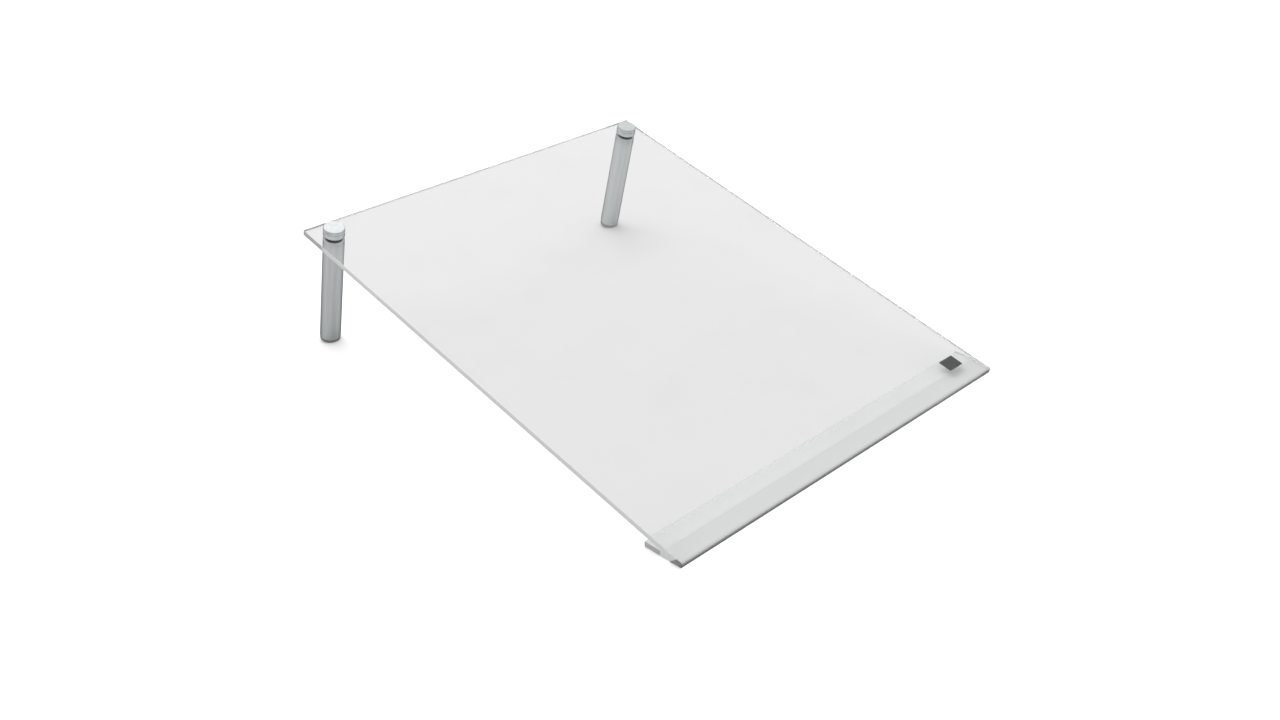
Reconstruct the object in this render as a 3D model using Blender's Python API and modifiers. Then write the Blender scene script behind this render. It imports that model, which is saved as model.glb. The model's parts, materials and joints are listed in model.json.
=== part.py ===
"""Acrylic desktop memo board: a clear sheet that slopes up from a glued front foot to two turned stand-offs.

Metres, +Z up. The low front edge faces -Y. The origin is the middle of the footprint, on the desk.
The slope isn't a size of its own: it follows from the stand-offs' height, as on the real board.
"""
import math

import bmesh
import bpy
from mathutils import Matrix

# Clear writing sheet
sheet_width = 0.250
sheet_length = 0.300
sheet_thickness = 0.003
sheet_corner_radius = 0.0006
sheet_edge_chamfer = 0.00025
sheet_hole_diameter = 0.006

# Clear foot strip under the front edge
foot_depth = 0.0235
foot_thickness = 0.003
foot_edge_chamfer = 0.0002
glue_gap = 0.0003

# Where the stand-offs go through the sheet, from its side and rear edges
leg_inset_side = 0.012
leg_inset_rear = 0.012

# Turned post
post_diameter = 0.012
post_length = 0.067
post_edge_chamfer = 0.0002
post_bore_spare = 0.0025
drill_point_angle = math.radians(118)

# Turned cap
cap_diameter = 0.012
cap_height = 0.005
cap_roof_thickness = 0.0014
cap_edge_chamfer = 0.0003

# M5 stud, held in the cap and screwed into the post
stud_diameter = 0.005
stud_length = 0.016
stud_end_chamfer = 0.0005

# Clear washer in the cap's recess, and black washer between the sheet and the post
cap_washer_diameter = 0.0095
cap_washer_thickness = 0.0005
seat_washer_diameter = 0.0095
seat_washer_thickness = 0.0005

# Rubber pad under the post, pressed flat where it meets the desk
pad_diameter = 0.0116
pad_thickness = 0.002
pad_edge_chamfer = 0.0002
pad_squash = 0.00045

# Clearances: end to end, and all round a stud or washer
seat_gap = 0.0003
side_gap = 0.0003

# Mesh fineness, and how far a cutter runs past what it cuts
turned_sides = 64
corner_steps = 4
merge_distance = 0.00001
cut_overrun = 0.004
smooth_angle = math.radians(30)

# Heights on a leg's axis, from the sheet's underside
seat_washer_base = -(seat_gap + seat_washer_thickness)
post_top = seat_washer_base - seat_gap
post_base = post_top - post_length
pad_base = post_base - seat_gap - pad_thickness
cap_base = sheet_thickness + seat_gap
cap_bore_depth = cap_height - cap_roof_thickness
stud_top = cap_base + cap_bore_depth - seat_gap
stud_base = stud_top - stud_length

# Widths and depths that follow from the pieces that fit
stud_bore_radius = stud_diameter / 2 + side_gap
cap_recess_radius = cap_washer_diameter / 2 + side_gap
cap_recess_depth = cap_washer_thickness + seat_gap
post_bore_depth = post_top - stud_base + post_bore_spare

# Places of the leg axes in the sheet's own plane
leg_side = sheet_width / 2 - leg_inset_side
leg_station = sheet_length - leg_inset_rear


def sheet_slope():
    """Returns the slope at which each pad's front rim would reach pad_squash below the desk."""
    rim_station = leg_station - (pad_diameter / 2 - pad_edge_chamfer)
    reach = math.hypot(rim_station, pad_base)
    return math.atan2(-pad_base, rim_station) - math.asin(pad_squash / reach)


def footprint_middle(slope):
    """Returns how far the middle of the board lies behind the sheet's lower front edge."""
    front = -(sheet_thickness - sheet_edge_chamfer) * math.sin(slope)
    axis_at_sheet = leg_station * math.cos(slope)
    pad_drop = -(pad_base + pad_edge_chamfer)
    pad_rear = axis_at_sheet + pad_drop * math.sin(slope) + pad_diameter / 2 * math.cos(slope)
    post_drop = -(post_base + post_edge_chamfer)
    post_rear = axis_at_sheet + post_drop * math.sin(slope) + post_diameter / 2 * math.cos(slope)
    return (front + max(pad_rear, post_rear)) / 2


def clear_scene():
    """Removes whatever the scene holds."""
    for leftover in list(bpy.data.objects):
        bpy.data.objects.remove(leftover)


def add_collection(name):
    """Makes a collection in the scene."""
    collection = bpy.data.collections.new(name)
    bpy.context.scene.collection.children.link(collection)
    return collection


def add_material(name, colour, roughness, metallic=0.0, transmission=0.0, ior=1.5):
    """Makes a material with one Principled BSDF."""
    material = bpy.data.materials.new(name)
    material.use_nodes = True
    shader = material.node_tree.nodes["Principled BSDF"]
    shader.inputs["Base Color"].default_value = (*colour, 1)
    shader.inputs["Roughness"].default_value = roughness
    shader.inputs["Metallic"].default_value = metallic
    shader.inputs["Transmission Weight"].default_value = transmission
    shader.inputs["IOR"].default_value = ior
    return material


def add_piece(name, mesh, collection, parent=None, location=(0, 0, 0)):
    """Places a mesh as a named object."""
    piece = bpy.data.objects.new(name, mesh)
    piece.location = location
    piece.parent = parent
    collection.objects.link(piece)
    return piece


def add_frame(name, collection, parent=None, location=(0, 0, 0), tilt=0.0):
    """Places an empty that carries pieces."""
    frame = bpy.data.objects.new(name, None)
    frame.location = location
    frame.rotation_euler = (tilt, 0, 0)
    frame.parent = parent
    collection.objects.link(frame)
    return frame


def add_cutter(name, mesh, collection, parent=None, location=(0, 0, 0)):
    """Places a mesh that only cuts others."""
    cutter = add_piece(name, mesh, collection, parent, location)
    cutter.hide_render = True
    cutter.display_type = "WIRE"
    return cutter


def cut(piece, cutter):
    """Takes the cutter's volume out of a piece."""
    boolean = piece.modifiers.new(cutter.name, "BOOLEAN")
    boolean.operation = "DIFFERENCE"
    boolean.solver = "EXACT"
    boolean.object = cutter


def chamfer_edges(piece, width):
    """Breaks every sharp edge of a piece."""
    bevel = piece.modifiers.new("edge_chamfer", "BEVEL")
    bevel.width = width
    bevel.segments = 1
    bevel.limit_method = "ANGLE"
    bevel.angle_limit = smooth_angle


def box_mesh(name, size, low_corner, corner_radius=0.0):
    """Makes a box from its size and its lowest corner, with its upright corners rounded if asked."""
    box = bmesh.new()
    centre = [low + length / 2 for low, length in zip(low_corner, size)]
    bmesh.ops.create_cube(box, size=1, matrix=Matrix.Translation(centre) @ Matrix.Diagonal((*size, 1)))
    if corner_radius:
        upright = [edge for edge in box.edges if edge.verts[0].co.z != edge.verts[1].co.z]
        bmesh.ops.bevel(
            box, geom=upright, offset=corner_radius, segments=corner_steps, profile=0.5, affect="EDGES"
        )
    mesh = bpy.data.meshes.new(name)
    box.to_mesh(mesh)
    box.free()
    return mesh


def rod_mesh(name, radius, low, high):
    """Makes a plain round rod along Z."""
    rod = bmesh.new()
    middle = Matrix.Translation((0, 0, (low + high) / 2))
    bmesh.ops.create_cone(
        rod,
        cap_ends=True,
        segments=turned_sides,
        radius1=radius,
        radius2=radius,
        depth=high - low,
        matrix=middle,
    )
    mesh = bpy.data.meshes.new(name)
    rod.to_mesh(mesh)
    rod.free()
    mesh.shade_smooth()
    mesh.set_sharp_from_angle(angle=smooth_angle)
    return mesh


def turned_mesh(name, profile, material, ring=False):
    """Turns a profile of (radius, height) points about Z. It runs down the outer side, top to bottom."""
    points = [(radius, 0, height) for radius, height in profile]
    edges = [(index, index + 1) for index in range(len(points) - 1)]
    if ring:
        edges.append((len(points) - 1, 0))
    outline = bpy.data.meshes.new(name + "_outline")
    outline.from_pydata(points, edges, [])
    lathe = bpy.data.objects.new(name + "_lathe", outline)
    bpy.context.scene.collection.objects.link(lathe)
    screw = lathe.modifiers.new("turn", "SCREW")
    screw.axis = "Z"
    screw.steps = turned_sides
    screw.render_steps = turned_sides
    screw.use_merge_vertices = True
    screw.merge_threshold = merge_distance
    turned = lathe.evaluated_get(bpy.context.evaluated_depsgraph_get())
    mesh = bpy.data.meshes.new_from_object(turned)
    mesh.name = name
    mesh.shade_smooth()
    mesh.set_sharp_from_angle(angle=smooth_angle)
    mesh.materials.append(material)
    bpy.data.objects.remove(lathe)
    bpy.data.meshes.remove(outline)
    return mesh


def post_mesh(material):
    """Post with a blind drilled bore at its top for the stud. Its base is at zero height."""
    radius = post_diameter / 2
    bore_floor = post_length - post_bore_depth
    drill_point = stud_bore_radius / math.tan(drill_point_angle / 2)
    profile = [
        (0, bore_floor - drill_point),
        (stud_bore_radius, bore_floor),
        (stud_bore_radius, post_length - side_gap),
        (stud_bore_radius + side_gap, post_length),
        (radius - post_edge_chamfer, post_length),
        (radius, post_length - post_edge_chamfer),
        (radius, post_edge_chamfer),
        (radius - post_edge_chamfer, 0),
        (0, 0),
    ]
    return turned_mesh("post", profile, material)


def cap_mesh(material):
    """Cap with a washer recess and the stud's bore in its underside. Its rim is at zero height."""
    radius = cap_diameter / 2
    profile = [
        (0, cap_height),
        (radius - cap_edge_chamfer, cap_height),
        (radius, cap_height - cap_edge_chamfer),
        (radius, cap_edge_chamfer),
        (radius - cap_edge_chamfer, 0),
        (cap_recess_radius, 0),
        (cap_recess_radius, cap_recess_depth),
        (stud_bore_radius, cap_recess_depth),
        (stud_bore_radius, cap_bore_depth),
        (0, cap_bore_depth),
    ]
    return turned_mesh("cap", profile, material)


def stud_mesh(material):
    """Stud blank with chamfered ends."""
    radius = stud_diameter / 2
    profile = [
        (0, stud_length),
        (radius - stud_end_chamfer, stud_length),
        (radius, stud_length - stud_end_chamfer),
        (radius, stud_end_chamfer),
        (radius - stud_end_chamfer, 0),
        (0, 0),
    ]
    return turned_mesh("stud", profile, material)


def washer_mesh(name, diameter, thickness, material):
    """Flat washer with the stud's clearance bore."""
    radius = diameter / 2
    profile = [(stud_bore_radius, thickness), (radius, thickness), (radius, 0), (stud_bore_radius, 0)]
    return turned_mesh(name, profile, material, ring=True)


def pad_mesh(material):
    """Round end pad, before the desk flattens it."""
    radius = pad_diameter / 2
    profile = [
        (0, pad_thickness),
        (radius, pad_thickness),
        (radius, pad_edge_chamfer),
        (radius - pad_edge_chamfer, 0),
        (0, 0),
    ]
    return turned_mesh("end_pad", profile, material)


def build_sheet(material, slope_frame, pieces, cutters):
    """Sheet with chamfered edges and one hole for each stud."""
    size = (sheet_width, sheet_length, sheet_thickness)
    mesh = box_mesh("acrylic_sheet", size, (-sheet_width / 2, 0, 0), sheet_corner_radius)
    mesh.materials.append(material)
    sheet = add_piece("acrylic_sheet", mesh, pieces, slope_frame)
    chamfer_edges(sheet, sheet_edge_chamfer)
    hole = rod_mesh("sheet_hole", sheet_hole_diameter / 2, -cut_overrun, sheet_thickness + cut_overrun)
    for side, sign in (("left", -1), ("right", 1)):
        place = (sign * leg_side, leg_station, 0)
        cut(sheet, add_cutter(side + "_hole_cut", hole, cutters, slope_frame, place))


def build_foot(material, slope_frame, middle, pieces, cutters):
    """Strip that lies flat on the desk, planed to the sheet's slope along its front."""
    size = (sheet_width, foot_depth, foot_thickness)
    mesh = box_mesh("front_foot", size, (-sheet_width / 2, 0, 0))
    mesh.materials.append(material)
    foot = add_piece("front_foot", mesh, pieces, None, (0, -middle, 0))
    chamfer_edges(foot, foot_edge_chamfer)
    plane_size = (sheet_width + 2 * cut_overrun, foot_depth + 2 * cut_overrun, foot_thickness + cut_overrun)
    plane_corner = (-sheet_width / 2 - cut_overrun, -cut_overrun, -glue_gap)
    cut(foot, add_cutter("bevel_cut", box_mesh("bevel_cut", plane_size, plane_corner), cutters, slope_frame))


def build_leg(side, sign, meshes, slope_frame, desk_cut, pieces):
    """One stand-off, stacked along its axis square to the sheet."""
    axis = add_frame(side + "_leg_axis", pieces, slope_frame, (sign * leg_side, leg_station, 0))
    heights = {
        "post": post_base,
        "cap": cap_base,
        "stud": stud_base,
        "cap_washer": cap_base,
        "seat_washer": seat_washer_base,
        "end_pad": pad_base,
    }
    for piece_name, height in heights.items():
        piece = add_piece(f"{side}_{piece_name}", meshes[piece_name], pieces, axis, (0, 0, height))
        if piece_name == "end_pad":
            cut(piece, desk_cut)


def build_desk_cut(middle, cutters):
    """Block below the desk's surface, where the pads are pressed flat."""
    depth = pad_squash + cut_overrun
    size = (sheet_width + 2 * cut_overrun, 2 * (middle + cut_overrun), depth)
    corner = (-sheet_width / 2 - cut_overrun, -middle - cut_overrun, -depth)
    return add_cutter("desk_cut", box_mesh("desk_cut", size, corner), cutters)


def main():
    """Builds the whole board."""
    clear_scene()
    pieces = add_collection("acrylic_memo_board")
    cutters = add_collection("cutters")
    acrylic = add_material("clear_acrylic", (0.97, 0.99, 0.98), 0.02, transmission=1.0, ior=1.49)
    aluminium = add_material("satin_aluminium", (0.76, 0.77, 0.78), 0.32, metallic=1.0)
    steel = add_material("zinc_plated_steel", (0.62, 0.63, 0.64), 0.28, metallic=1.0)
    nylon = add_material("clear_nylon", (0.93, 0.94, 0.93), 0.25, transmission=0.8, ior=1.53)
    rubber = add_material("black_rubber", (0.035, 0.036, 0.038), 0.75)

    slope = sheet_slope()
    middle = footprint_middle(slope)
    slope_frame = add_frame("slope_frame", pieces, None, (0, -middle, 0), slope)
    build_sheet(acrylic, slope_frame, pieces, cutters)
    build_foot(acrylic, slope_frame, middle, pieces, cutters)
    meshes = {
        "post": post_mesh(aluminium),
        "cap": cap_mesh(aluminium),
        "stud": stud_mesh(steel),
        "cap_washer": washer_mesh("cap_washer", cap_washer_diameter, cap_washer_thickness, nylon),
        "seat_washer": washer_mesh("seat_washer", seat_washer_diameter, seat_washer_thickness, rubber),
        "end_pad": pad_mesh(rubber),
    }
    desk_cut = build_desk_cut(middle, cutters)
    for side, sign in (("left", -1), ("right", 1)):
        build_leg(side, sign, meshes, slope_frame, desk_cut, pieces)


main()
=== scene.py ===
"""Looks of the acrylic desktop memo board, dressed over its solids.

Metres, in the solids' own frame: the low front edge faces -Y, and the desk is at zero height.
"""

import functools
import json
import logging
import math
from dataclasses import dataclass
from enum import Enum, IntEnum
from typing import Any, Iterable, Mapping, NamedTuple, Sequence

import bmesh
import bpy
from mathutils import Matrix, Vector

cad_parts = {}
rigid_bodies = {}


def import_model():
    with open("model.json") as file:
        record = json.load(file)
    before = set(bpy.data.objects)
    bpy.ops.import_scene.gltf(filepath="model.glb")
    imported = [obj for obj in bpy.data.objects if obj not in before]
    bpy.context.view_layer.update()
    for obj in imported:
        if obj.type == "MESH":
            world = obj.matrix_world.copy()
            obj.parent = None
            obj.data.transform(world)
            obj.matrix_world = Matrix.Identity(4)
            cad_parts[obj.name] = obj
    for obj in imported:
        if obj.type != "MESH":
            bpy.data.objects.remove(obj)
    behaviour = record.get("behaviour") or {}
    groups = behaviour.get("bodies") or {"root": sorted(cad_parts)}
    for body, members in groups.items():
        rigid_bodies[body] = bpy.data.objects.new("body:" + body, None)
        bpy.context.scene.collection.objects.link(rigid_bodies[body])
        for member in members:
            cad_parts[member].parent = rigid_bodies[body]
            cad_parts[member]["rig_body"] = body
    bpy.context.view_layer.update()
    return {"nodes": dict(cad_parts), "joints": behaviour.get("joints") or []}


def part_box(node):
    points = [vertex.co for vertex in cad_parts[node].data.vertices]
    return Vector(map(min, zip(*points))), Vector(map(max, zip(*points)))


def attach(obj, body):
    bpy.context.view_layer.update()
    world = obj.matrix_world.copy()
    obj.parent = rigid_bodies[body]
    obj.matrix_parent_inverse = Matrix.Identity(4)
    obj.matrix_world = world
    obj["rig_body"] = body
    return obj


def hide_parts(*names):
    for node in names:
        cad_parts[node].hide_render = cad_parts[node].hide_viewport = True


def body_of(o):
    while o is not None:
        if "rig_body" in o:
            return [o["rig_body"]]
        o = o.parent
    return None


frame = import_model()

LOG = logging.getLogger("memo_board")
MILLIMETRE = 0.001
MERGE_DISTANCE = 0.001 * MILLIMETRE
TURNED_SIDES = 96
SMOOTH_ANGLE = math.radians(35)
FLAT_AREA = 100 * MILLIMETRE**2
FLAT_END = 0.9999
FACING = 0.99
ROUNDING_STEPS = 4
ACRYLIC_INDEX = 1.49
FINE_DETAIL = 3.0
NOISE_ROUGHNESS = 0.55
PATCH_RANGE = (0.35, 0.65)
MOST_BOUNCES = 32
CLEAR_BOUNCES = 24
# A Mix node's sockets for colours.
MIX_FIRST = 6
MIX_SECOND = 7
MIX_RESULT = 2
# A place past the board's ends, for a zone that a piece doesn't have.
BEYOND_BOARD = 1000 * MILLIMETRE


class Side(Enum):
    """The board's two stand-offs, named by the side they stand on."""

    LEFT = "left"
    RIGHT = "right"


def cap_joint(side: Side) -> Mapping[str, Any]:
    """The joint on which a stand-off's cap turns."""
    return next(joint for joint in frame["joints"] if joint["name"] == f"{side.value}_cap_turn")


CAP_AXIS = cap_joint(Side.LEFT)["axis"]
TILT = math.atan2(-CAP_AXIS[1], CAP_AXIS[2])


class AcrylicFace(IntEnum):
    """The faces of a clear piece, by the place of their finish in its material slots."""

    BROAD = 0
    FRONT = 1
    LEFT = 2
    RIGHT_OR_REAR = 3
    UNDERSIDE = 4


class Ray(Enum):
    """The kinds of ray that a shader can tell apart, by their Light Path outputs."""

    CAMERA = "Is Camera Ray"
    TRANSMISSION = "Is Transmission Ray"
    GLOSSY = "Is Glossy Ray"
    SHADOW = "Is Shadow Ray"
    DIFFUSE = "Is Diffuse Ray"


class Signal:
    """A shader socket that takes part in Python sums."""

    def __init__(self, graph: "Graph", socket: bpy.types.NodeSocket) -> None:
        """Wraps a socket of a graph."""
        self.graph = graph
        self.socket = socket

    def _math(self, operation: str, first: Any, second: Any) -> "Signal":
        """Adds one Math node."""
        return self.graph.node("ShaderNodeMath", {"operation": operation}, {0: first, 1: second})

    def __add__(self, other: Any) -> "Signal":
        """Sum."""
        return self._math("ADD", self, other)

    __radd__ = __add__

    def __sub__(self, other: Any) -> "Signal":
        """Difference."""
        return self._math("SUBTRACT", self, other)

    def __rsub__(self, other: Any) -> "Signal":
        """Reflected difference, such as 1 - mask."""
        return self._math("SUBTRACT", other, self)

    def __mul__(self, other: Any) -> "Signal":
        """Product."""
        return self._math("MULTIPLY", self, other)

    __rmul__ = __mul__

    def __or__(self, other: Any) -> "Signal":
        """The larger of two masks."""
        return self._math("MAXIMUM", self, other)

    __ror__ = __or__

    def ramp(self, low: float, high: float) -> "Signal":
        """Maps a range of values smoothly onto 0 to 1.

        Args:
            low: The value that becomes 0.
            high: The value that becomes 1.

        Returns:
            The mapped signal.
        """
        settings = {"interpolation_type": "SMOOTHSTEP", "clamp": True}
        values = {"Value": self, "From Min": low, "From Max": high, "To Min": 0.0, "To Max": 1.0}
        return self.graph.node("ShaderNodeMapRange", settings, values)


class Graph:
    """The nodes of one material or world."""

    def __init__(self, tree: bpy.types.NodeTree) -> None:
        """Empties a node tree and takes it over."""
        self.tree = tree
        tree.nodes.clear()

    def node(
        self,
        kind: str,
        settings: Mapping[str, Any] | None = None,
        values: Mapping[str | int, Any] | None = None,
        output: str | int = 0,
    ) -> Signal:
        """Adds a node.

        Args:
            kind: The node's type.
            settings: Its own properties, set before its sockets. "stops" fills a colour ramp.
            values: Numbers, colours, vectors or signals for its input sockets.
            output: The output to return.

        Returns:
            The chosen output as a signal.
        """
        made = self.tree.nodes.new(kind)
        for name, value in (settings or {}).items():
            if name == "stops":
                self._fill_ramp(made.color_ramp, value)
            else:
                setattr(made, name, value)
        for name, value in (values or {}).items():
            if isinstance(value, Signal):
                self.tree.links.new(value.socket, made.inputs[name])
            else:
                made.inputs[name].default_value = value
        if len(made.outputs) == 0:
            return Signal(self, None)
        return Signal(self, made.outputs[output])

    @staticmethod
    def _fill_ramp(colour_ramp: bpy.types.ColorRamp, stops: Sequence[tuple[float, tuple]]) -> None:
        """Sets a colour ramp's stops.

        Args:
            colour_ramp: The ramp.
            stops: Each stop's place on it, from 0 to 1, and its colour.
        """
        while len(colour_ramp.elements) < len(stops):
            colour_ramp.elements.new(stops[-1][0])
        for element, (position, colour) in zip(colour_ramp.elements, stops):
            element.position = position
            element.color = colour

    def mix_colour(self, factor: Any, first: Any, second: Any, blend: str = "MIX") -> Signal:
        """Blends two colours.

        Args:
            factor: 0 for the first colour, 1 for the blend with the second.
            first: A colour or a signal.
            second: A colour or a signal.
            blend: How they blend.

        Returns:
            The blended colour.
        """
        settings = {"data_type": "RGBA", "blend_type": blend}
        values = {0: factor, MIX_FIRST: first, MIX_SECOND: second}
        return self.node("ShaderNodeMix", settings, values, MIX_RESULT)

    def local_point(self) -> Signal:
        """The point on the surface, from the piece's origin, in the slope's axes."""
        return self._tilted(self.node("ShaderNodeTexCoord", output="Object"))

    def local_normal(self) -> Signal:
        """The surface's normal, in the slope's axes."""
        return self._tilted(self.node("ShaderNodeTexCoord", output="Normal"))

    def _tilted(self, vector: Signal) -> Signal:
        """Turns a vector of the desk's axes into the slope's."""
        values = {"Vector": vector, "Angle": -TILT}
        return self.node("ShaderNodeVectorRotate", {"rotation_type": "X_AXIS"}, values)

    def component(self, vector: Signal, axis: str) -> Signal:
        """The part of a vector along "X", "Y" or "Z"."""
        return self.node("ShaderNodeSeparateXYZ", None, {0: vector}, axis)

    def noise(self, point: Signal, grain: float, detail: float = 2.0) -> Signal:
        """A noise from 0 to 1, read at a point, with its grains' size in metres and some finer layers."""
        values = {"Vector": point, "Scale": 1 / grain, "Detail": detail, "Roughness": NOISE_ROUGHNESS}
        return self.node("ShaderNodeTexNoise", None, values)

    def bump(self, height: Signal, depth: float) -> Signal:
        """A normal bumped by a height from 0 to 1, whose whole range is some metres deep."""
        values = {"Height": height, "Distance": depth, "Strength": 1.0}
        return self.node("ShaderNodeBump", None, values)

    def is_ray(self, first: Ray, *others: Ray) -> Signal:
        """Tells rays apart.

        Args:
            first: A kind of ray.
            others: More kinds.

        Returns:
            1 on rays of these kinds, 0 on the rest.
        """
        mask = self.node("ShaderNodeLightPath", output=first.value)
        for ray in others:
            mask = mask | self.node("ShaderNodeLightPath", output=ray.value)
        return mask

    def by_ray(self, other: float, levels: Mapping[Ray, Any]) -> Signal:
        """Chooses a level by the kind of ray.

        Args:
            other: The level for rays of no kind in the list.
            levels: The level for each kind. A ray of two kinds takes the later one's.

        Returns:
            The chosen level.
        """
        chosen = other
        for ray, level in levels.items():
            chosen = chosen + (level - chosen) * self.is_ray(ray)
        return chosen

    def principled(self, values: Mapping[str, Any]) -> Signal:
        """Adds a surface's shader with these values."""
        return self.node("ShaderNodeBsdfPrincipled", None, values)

    def mix_shader(self, factor: Signal, first: Signal, second: Signal) -> Signal:
        """Blends two shaders, the first where the factor is 0."""
        return self.node("ShaderNodeMixShader", None, {0: factor, 1: first, 2: second})


def opaque(colour: Iterable[float]) -> tuple[float, ...]:
    """A colour with full alpha."""
    return (*colour, 1.0)


def grey(level: float) -> tuple[float, ...]:
    """A neutral colour of one level."""
    return opaque((level, level, level))


class Finish:
    """A surface finish that one material carries."""

    name: str

    @functools.cache
    def material(self) -> bpy.types.Material:
        """Makes the finish's material, once.

        Returns:
            The material.
        """
        made = bpy.data.materials.new(f"{self.name}_finish")
        made.use_nodes = True
        graph = Graph(made.node_tree)
        shader = self.shade(graph)
        graph.node("ShaderNodeOutputMaterial", None, {"Surface": shader})
        return made

    def shade(self, graph: Graph) -> Signal:
        """Builds the finish's shader in a graph."""
        raise NotImplementedError


@dataclass(frozen=True)
class ClearAcrylic(Finish):
    """Cast acrylic, polished, with faint wiping marks. Light for its shadow goes straight through it."""

    name: str = "clear_acrylic"
    tint: tuple[float, float, float] = (0.965, 0.97, 0.965)
    cast_tint: tuple[float, float, float] = (0.975, 0.977, 0.975)
    wiped: float = 0.975
    wipe_grain: float = 35.0 * MILLIMETRE
    wipe_range: tuple[float, float] = (0.4, 0.85)
    roughness: float = 0.0
    index: float = ACRYLIC_INDEX

    def shade(self, graph: Graph) -> Signal:
        """Builds the clear shader.

        Args:
            graph: The material\'s graph.

        Returns:
            The shader.
        """
        smear = graph.noise(graph.local_point(), self.wipe_grain, FINE_DETAIL).ramp(*self.wipe_range)
        colour = self._colour(graph)
        wiped = graph.mix_colour(smear, grey(1.0), grey(self.wiped))
        values = {
            "Base Color": graph.mix_colour(1.0, colour, wiped, "MULTIPLY"),
            "Roughness": self.roughness,
            "Transmission Weight": 1.0,
            "IOR": self.index,
        }
        clear = graph.principled(values)
        cast = graph.node("ShaderNodeBsdfTransparent", None, {"Color": opaque(self.cast_tint)})
        return graph.mix_shader(graph.is_ray(Ray.SHADOW, Ray.DIFFUSE), clear, cast)

    def _colour(self, graph: Graph) -> Any:
        """The colour that light takes on its way through."""
        return opaque(self.tint)


@dataclass(frozen=True)
class FrontEdge(ClearAcrylic):
    """The acrylic's front edges, with painted shade: greyer than its faces, and darkest low down."""

    name: str = "front_edge"
    # The edge's grey is painted shade, not a colour of the acrylic.
    tint: tuple[float, float, float] = (0.17, 0.173, 0.17)
    # Painted shade, darkest low down along the desk.
    dark: tuple[float, float, float] = (0.01, 0.0105, 0.01)
    roughness: float = 0.05
    # Painted shade, darker at the right end.
    end_painted_shade: tuple[float, float, float] = (0.03, 0.031, 0.03)
    half_width: float = 125.0 * MILLIMETRE
    underside: float = 0.0
    end_reach: float = 9.5 * MILLIMETRE
    end_blur: float = 1.0 * MILLIMETRE
    dark_height: float = 1.4 * MILLIMETRE
    light_height: float = 3.0 * MILLIMETRE

    def _colour(self, graph: Graph) -> Any:
        """Grey painted shade, darkening towards the underside and at the right end.

        Args:
            graph: The material's graph.

        Returns:
            The colour.
        """
        # Painted shade: darker at the right end and low down along the desk.
        point = graph.local_point()
        start = self.half_width - self.end_reach
        end = graph.component(point, "X").ramp(start - self.end_blur, start + self.end_blur)
        tint = graph.mix_colour(end, opaque(self.tint), opaque(self.end_painted_shade))
        height = graph.component(point, "Z")
        low = 1 - height.ramp(self.underside + self.dark_height, self.underside + self.light_height)
        return graph.mix_colour(low, tint, opaque(self.dark))


@dataclass(frozen=True)
class SawnEdge(Finish):
    """The acrylic's sawn edges: pale and frosted, with painted shade, dark at the front end and grey at the
    rear corners.

    The grey zones are fitted to the photograph's light, and aren't colours of the material.
    """

    name: str = "sawn_edge"
    colour: tuple[float, float, float] = (0.97, 0.98, 0.975)
    # Painted shade, grey at the rear corners and past the ledge.
    painted_shade_colour: tuple[float, float, float] = (0.58, 0.59, 0.585)
    # Painted shade, dark at the front end.
    dark: tuple[float, float, float] = (0.28, 0.285, 0.28)
    roughness: float = 0.35
    clearness: float = 0.05
    saw_grain: float = 0.5 * MILLIMETRE
    saw_shade: float = 0.95
    saw_roughness: float = 0.1
    front: float = 0.0
    top: float = 0.0
    rear: float = BEYOND_BOARD
    half_width: float = 125.0 * MILLIMETRE
    dark_reach: float = 3.6 * MILLIMETRE
    dark_lean: float = 0.75
    corner_reach: float = 18.0 * MILLIMETRE
    ledge: float = BEYOND_BOARD
    blur: float = 0.5 * MILLIMETRE
    corner_blur: float = 2.0 * MILLIMETRE

    def shade(self, graph: Graph) -> Signal:
        """Builds the frosted shader.

        Args:
            graph: The material\'s graph.

        Returns:
            The shader.
        """
        point = graph.local_point()
        across, along, height = (graph.component(point, axis) for axis in "XYZ")
        # Painted shade: dark at the front tip, grey at the rear corners and past the ledge.
        leaning = along - self.dark_lean * (self.top - height)
        dark_end = self.front + self.dark_reach
        tip = 1 - leaning.ramp(dark_end - self.blur, dark_end + self.blur)
        side = self.half_width - self.corner_reach
        corner = (across * across).ramp((side - self.corner_blur) ** 2, (side + self.corner_blur) ** 2)
        rear = self.rear - self.corner_reach
        corner = corner * along.ramp(rear - self.corner_blur, rear + self.corner_blur)
        shaded = corner | along.ramp(self.ledge - self.blur, self.ledge + self.blur)
        saw = graph.noise(point, self.saw_grain, FINE_DETAIL)
        sawn = opaque(self.saw_shade * channel for channel in self.colour)
        pale = graph.mix_colour(saw.ramp(*PATCH_RANGE), sawn, opaque(self.colour))
        colour = graph.mix_colour(shaded, pale, opaque(self.painted_shade_colour))
        values = {
            "Base Color": graph.mix_colour(tip, colour, opaque(self.dark)),
            "Roughness": self.roughness + self.saw_roughness * saw,
            "Transmission Weight": self.clearness,
            "IOR": ACRYLIC_INDEX,
        }
        return graph.principled(values)


@dataclass(frozen=True)
class FrostedEdge(SawnEdge):
    """The acrylic's right and rear edges, frosted coarsely, so that light through them spreads evenly, with
    the sawn edges' painted grey shade at the rear corners and no dark front end.
    """

    name: str = "frosted_edge"
    roughness: float = 0.85
    clearness: float = 0.3
    dark_reach: float = 0.0


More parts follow.
